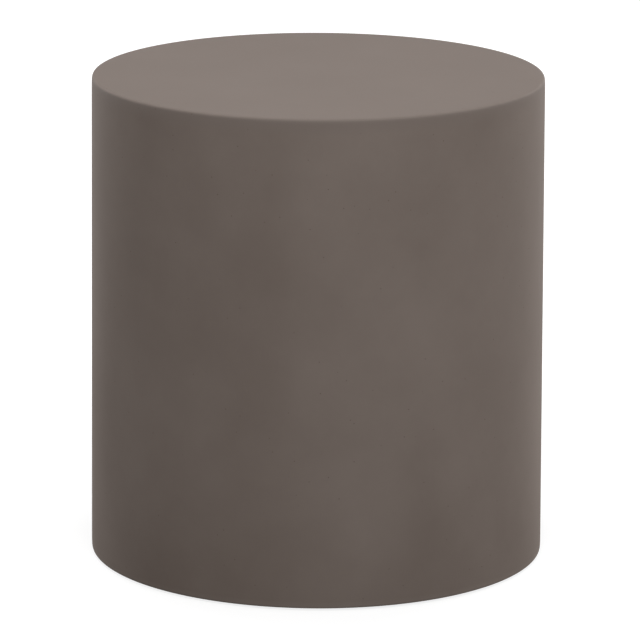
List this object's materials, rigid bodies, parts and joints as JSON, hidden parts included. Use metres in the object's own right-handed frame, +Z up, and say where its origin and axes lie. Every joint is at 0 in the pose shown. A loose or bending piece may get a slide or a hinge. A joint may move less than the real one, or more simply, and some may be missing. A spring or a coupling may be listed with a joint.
{
  "type": "side table",
  "caption": "Round drum side table: a hollow one-piece concrete casting with a flat top and a rounded edge, open underneath, standing on screw-adjusted levelling feet.",
  "frame": {"origin": "on the floor, on the drum's axis, under the soles of the feet when they are screwed home", "axes": "+Z up along the drum's axis; the feet stand on +X, +Y, -X and -Y"},
  "size_m": [0.4299, 0.43, 0.46],
  "materials": {
    "concrete": "matte",
    "brass": "satin",
    "zinc_steel": "satin",
    "nylon": "satin",
    "rubber": "matte"
  },
  "bodies": {
    "drum": {"drum_shell": "concrete", "threaded_socket_1": "brass", "threaded_socket_2": "brass", "threaded_socket_3": "brass", "threaded_socket_4": "brass"},
    "foot_1": {"glide_base_1": "nylon", "sole_pad_1": "rubber"},
    "stud_1": {"levelling_stud_1": "zinc_steel"},
    "foot_2": {"glide_base_2": "nylon", "sole_pad_2": "rubber"},
    "stud_2": {"levelling_stud_2": "zinc_steel"},
    "foot_3": {"glide_base_3": "nylon", "sole_pad_3": "rubber"},
    "stud_3": {"levelling_stud_3": "zinc_steel"},
    "foot_4": {"glide_base_4": "nylon", "sole_pad_4": "rubber"},
    "stud_4": {"levelling_stud_4": "zinc_steel"}
  },
  "joints": [
    {"name": "foot_1_lift", "type": "slide", "parent": "drum", "child": "foot_1", "axis": [0, 0, -1], "range_m": [0, 0.01]},
    {"name": "stud_1_turn", "type": "hinge", "parent": "foot_1", "child": "stud_1", "pos_m": [0.17, 0, 0.0164], "axis": [0, 0, -1], "range_deg": [0, 2880]},
    {"name": "foot_2_lift", "type": "slide", "parent": "drum", "child": "foot_2", "axis": [0, 0, -1], "range_m": [0, 0.01]},
    {"name": "stud_2_turn", "type": "hinge", "parent": "foot_2", "child": "stud_2", "pos_m": [0, 0.17, 0.0164], "axis": [0, 0, -1], "range_deg": [0, 2880]},
    {"name": "foot_3_lift", "type": "slide", "parent": "drum", "child": "foot_3", "axis": [0, 0, -1], "range_m": [0, 0.01]},
    {"name": "stud_3_turn", "type": "hinge", "parent": "foot_3", "child": "stud_3", "pos_m": [-0.17, 0, 0.0164], "axis": [0, 0, -1], "range_deg": [0, 2880]},
    {"name": "foot_4_lift", "type": "slide", "parent": "drum", "child": "foot_4", "axis": [0, 0, -1], "range_m": [0, 0.01]},
    {"name": "stud_4_turn", "type": "hinge", "parent": "foot_4", "child": "stud_4", "pos_m": [0, -0.17, 0.0164], "axis": [0, 0, -1], "range_deg": [0, 2880]}
  ],
  "couplings": [
    {"joint": "stud_1_turn", "follows": "foot_1_lift", "rad_per_m": 5026.5},
    {"joint": "stud_2_turn", "follows": "foot_2_lift", "rad_per_m": 5026.5},
    {"joint": "stud_3_turn", "follows": "foot_3_lift", "rad_per_m": 5026.5},
    {"joint": "stud_4_turn", "follows": "foot_4_lift", "rad_per_m": 5026.5}
  ]
}
